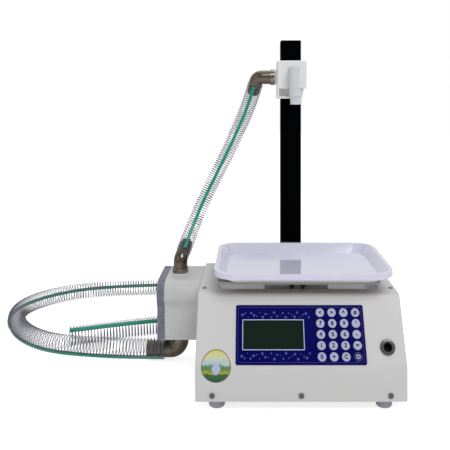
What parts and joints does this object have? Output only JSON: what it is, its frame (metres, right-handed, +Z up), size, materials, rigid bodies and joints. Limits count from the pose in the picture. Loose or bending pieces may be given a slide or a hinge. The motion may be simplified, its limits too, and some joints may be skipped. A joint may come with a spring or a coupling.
{
  "type": "bench-top liquid filler",
  "caption": "Bench-top weigh filler: scale tray on a sloping-panel housing, side gear pump, upright column with filling nozzle, clear reinforced hoses.",
  "frame": {"origin": "bottom centre of the machine without its intake hose, on the surface that it stands on", "axes": "+Z up, +Y from the control panel to the back, +X to the right seen from the front"},
  "size_m": [0.8138, 0.6688, 0.634],
  "materials": {
    "powder_coat": "warm white powder coat, fine orange peel",
    "zinc_sheet": "zinc-plated sheet",
    "phenolic_board": "brown laminate board",
    "white_sheet": "white enamel",
    "screw_steel": "bright zinc",
    "black_screw": "black oxide",
    "grey_rubber": "moulded grey rubber",
    "tray_plastic": "glossy white plastic",
    "panel_film": "deep blue printed film",
    "lcd_glass": "dark display glass",
    "key_print": "pale printed keys",
    "circuit_board": "green solder mask",
    "dark_chrome": "polished black nickel",
    "black_plastic": "moulded black plastic",
    "cell_aluminium": "milled aluminium",
    "motor_paint": "dark enamel",
    "gear_steel": "ground steel",
    "pump_casting": "milled, light grey",
    "anodised_violet": "anodised grey violet",
    "nickel": "polished nickel, warm",
    "white_nylon": "white nylon",
    "clear_pvc": "clear flexible tube with wire helix and green stripes",
    "black_anodised": "black anodised",
    "milky_plastic": "translucent white plastic"
  },
  "bodies": {
    "machine": {"base_plate": "zinc_sheet", "column": "black_anodised", "control_board": "circuit_board", "cover_screws": "screw_steel", "gear_motor": "motor_paint", "housing_screws": "screw_steel", "housing_shell": "powder_coat", "inlet_elbow": "nickel", "inlet_hose": "clear_pvc", "keypad_overlay": "panel_film", "lcd_window": "lcd_glass", "load_cell": "cell_aluminium", "load_cell_bolts": "screw_steel", "outlet_elbow": "nickel", "outlet_hose": "clear_pvc", "platform_bracket": "zinc_sheet", "platform_plate": "phenolic_board", "port_washer": "white_nylon", "power_inlet": "black_plastic", "power_supply": "zinc_sheet", "pump_body": "pump_casting", "pump_cover": "anodised_violet", "rear_panel": "powder_coat", "rubber_feet": "grey_rubber", "socket_insert": "black_plastic", "socket_ring": "dark_chrome", "stop_screws": "black_screw", "well_pan": "white_sheet"},
    "tray": {"tray": "tray_plastic"},
    "nozzle_carriage": {"nozzle_clamp": "black_anodised", "nozzle_block": "milky_plastic", "nozzle_spout": "milky_plastic", "nozzle_elbow": "nickel", "nozzle_washer": "white_nylon"},
    "clamp_knob": {"clamp_knob": "black_plastic"},
    "pump_drive": {"drive_gear": "gear_steel", "shaft_coupling": "gear_steel", "motor_shaft": "screw_steel"},
    "pump_idler": {"idler_gear": "gear_steel"},
    "switch_rocker": {"switch_rocker": "black_plastic"},
    "key_row1_column1": {"key_row1_column1": "key_print"},
    "key_row1_column2": {"key_row1_column2": "key_print"},
    "key_row1_column3": {"key_row1_column3": "key_print"},
    "key_row1_column4": {"key_row1_column4": "key_print"},
    "key_row2_column1": {"key_row2_column1": "key_print"},
    "key_row2_column2": {"key_row2_column2": "key_print"},
    "key_row2_column3": {"key_row2_column3": "key_print"},
    "key_row2_column4": {"key_row2_column4": "key_print"},
    "key_row3_column1": {"key_row3_column1": "key_print"},
    "key_row3_column2": {"key_row3_column2": "key_print"},
    "key_row3_column3": {"key_row3_column3": "key_print"},
    "key_row3_column4": {"key_row3_column4": "key_print"},
    "key_row4_column1": {"key_row4_column1": "key_print"},
    "key_row4_column2": {"key_row4_column2": "key_print"},
    "key_row4_column3": {"key_row4_column3": "key_print"},
    "key_row4_column4": {"key_row4_column4": "key_print"},
    "key_row5_column1": {"key_row5_column1": "key_print"},
    "key_row5_column2": {"key_row5_column2": "key_print"},
    "key_row5_column3": {"key_row5_column3": "key_print"},
    "key_row5_column4": {"key_row5_column4": "key_print"}
  },
  "joints": [
    {"name": "tray_lift", "type": "slide", "parent": "machine", "child": "tray", "axis": [0, 0, 1], "range_m": [0, 0.06]},
    {"name": "nozzle_height", "type": "slide", "parent": "machine", "child": "nozzle_carriage", "axis": [0, 0, 1], "range_m": [-0.12, 0.04], "deforming": ["outlet_hose"]},
    {"name": "clamp_knob_turn", "type": "hinge", "parent": "nozzle_carriage", "child": "clamp_knob", "pos_m": [0.0565, 0.15425, 0.551], "axis": [0, 1, 0], "range_deg": [0, 360]},
    {"name": "pump_spin", "type": "hinge", "parent": "machine", "child": "pump_drive", "pos_m": [-0.1655, 0.02315, 0.1135], "axis": [1, 0, 0], "continuous": true},
    {"name": "idler_spin", "type": "hinge", "parent": "machine", "child": "pump_idler", "pos_m": [-0.1655, 0.05955, 0.1135], "axis": [1, 0, 0], "continuous": true},
    {"name": "power_switch", "type": "hinge", "parent": "machine", "child": "switch_rocker", "pos_m": [0.1665, 0.09395, 0.094], "axis": [1, 0, 0], "range_deg": [0, 12]},
    {"name": "key_row1_column1_press", "type": "slide", "parent": "machine", "child": "key_row1_column1", "axis": [0, 0.8806, -0.4738], "range_m": [0, 0.0005], "stiffness_N_per_m": 800},
    {"name": "key_row1_column2_press", "type": "slide", "parent": "machine", "child": "key_row1_column2", "axis": [0, 0.8806, -0.4738], "range_m": [0, 0.0005], "stiffness_N_per_m": 800},
    {"name": "key_row1_column3_press", "type": "slide", "parent": "machine", "child": "key_row1_column3", "axis": [0, 0.8806, -0.4738], "range_m": [0, 0.0005], "stiffness_N_per_m": 800},
    {"name": "key_row1_column4_press", "type": "slide", "parent": "machine", "child": "key_row1_column4", "axis": [0, 0.8806, -0.4738], "range_m": [0, 0.0005], "stiffness_N_per_m": 800},
    {"name": "key_row2_column1_press", "type": "slide", "parent": "machine", "child": "key_row2_column1", "axis": [0, 0.8806, -0.4738], "range_m": [0, 0.0005], "stiffness_N_per_m": 800},
    {"name": "key_row2_column2_press", "type": "slide", "parent": "machine", "child": "key_row2_column2", "axis": [0, 0.8806, -0.4738], "range_m": [0, 0.0005], "stiffness_N_per_m": 800},
    {"name": "key_row2_column3_press", "type": "slide", "parent": "machine", "child": "key_row2_column3", "axis": [0, 0.8806, -0.4738], "range_m": [0, 0.0005], "stiffness_N_per_m": 800},
    {"name": "key_row2_column4_press", "type": "slide", "parent": "machine", "child": "key_row2_column4", "axis": [0, 0.8806, -0.4738], "range_m": [0, 0.0005], "stiffness_N_per_m": 800},
    {"name": "key_row3_column1_press", "type": "slide", "parent": "machine", "child": "key_row3_column1", "axis": [0, 0.8806, -0.4738], "range_m": [0, 0.0005], "stiffness_N_per_m": 800},
    {"name": "key_row3_column2_press", "type": "slide", "parent": "machine", "child": "key_row3_column2", "axis": [0, 0.8806, -0.4738], "range_m": [0, 0.0005], "stiffness_N_per_m": 800},
    {"name": "key_row3_column3_press", "type": "slide", "parent": "machine", "child": "key_row3_column3", "axis": [0, 0.8806, -0.4738], "range_m": [0, 0.0005], "stiffness_N_per_m": 800},
    {"name": "key_row3_column4_press", "type": "slide", "parent": "machine", "child": "key_row3_column4", "axis": [0, 0.8806, -0.4738], "range_m": [0, 0.0005], "stiffness_N_per_m": 800},
    {"name": "key_row4_column1_press", "type": "slide", "parent": "machine", "child": "key_row4_column1", "axis": [0, 0.8806, -0.4738], "range_m": [0, 0.0005], "stiffness_N_per_m": 800},
    {"name": "key_row4_column2_press", "type": "slide", "parent": "machine", "child": "key_row4_column2", "axis": [0, 0.8806, -0.4738], "range_m": [0, 0.0005], "stiffness_N_per_m": 800},
    {"name": "key_row4_column3_press", "type": "slide", "parent": "machine", "child": "key_row4_column3", "axis": [0, 0.8806, -0.4738], "range_m": [0, 0.0005], "stiffness_N_per_m": 800},
    {"name": "key_row4_column4_press", "type": "slide", "parent": "machine", "child": "key_row4_column4", "axis": [0, 0.8806, -0.4738], "range_m": [0, 0.0005], "stiffness_N_per_m": 800},
    {"name": "key_row5_column1_press", "type": "slide", "parent": "machine", "child": "key_row5_column1", "axis": [0, 0.8806, -0.4738], "range_m": [0, 0.0005], "stiffness_N_per_m": 800},
    {"name": "key_row5_column2_press", "type": "slide", "parent": "machine", "child": "key_row5_column2", "axis": [0, 0.8806, -0.4738], "range_m": [0, 0.0005], "stiffness_N_per_m": 800},
    {"name": "key_row5_column3_press", "type": "slide", "parent": "machine", "child": "key_row5_column3", "axis": [0, 0.8806, -0.4738], "range_m": [0, 0.0005], "stiffness_N_per_m": 800},
    {"name": "key_row5_column4_press", "type": "slide", "parent": "machine", "child": "key_row5_column4", "axis": [0, 0.8806, -0.4738], "range_m": [0, 0.0005], "stiffness_N_per_m": 800}
  ],
  "couplings": [
    {"joint": "idler_spin", "follows": "pump_spin", "ratio": -1}
  ]
}
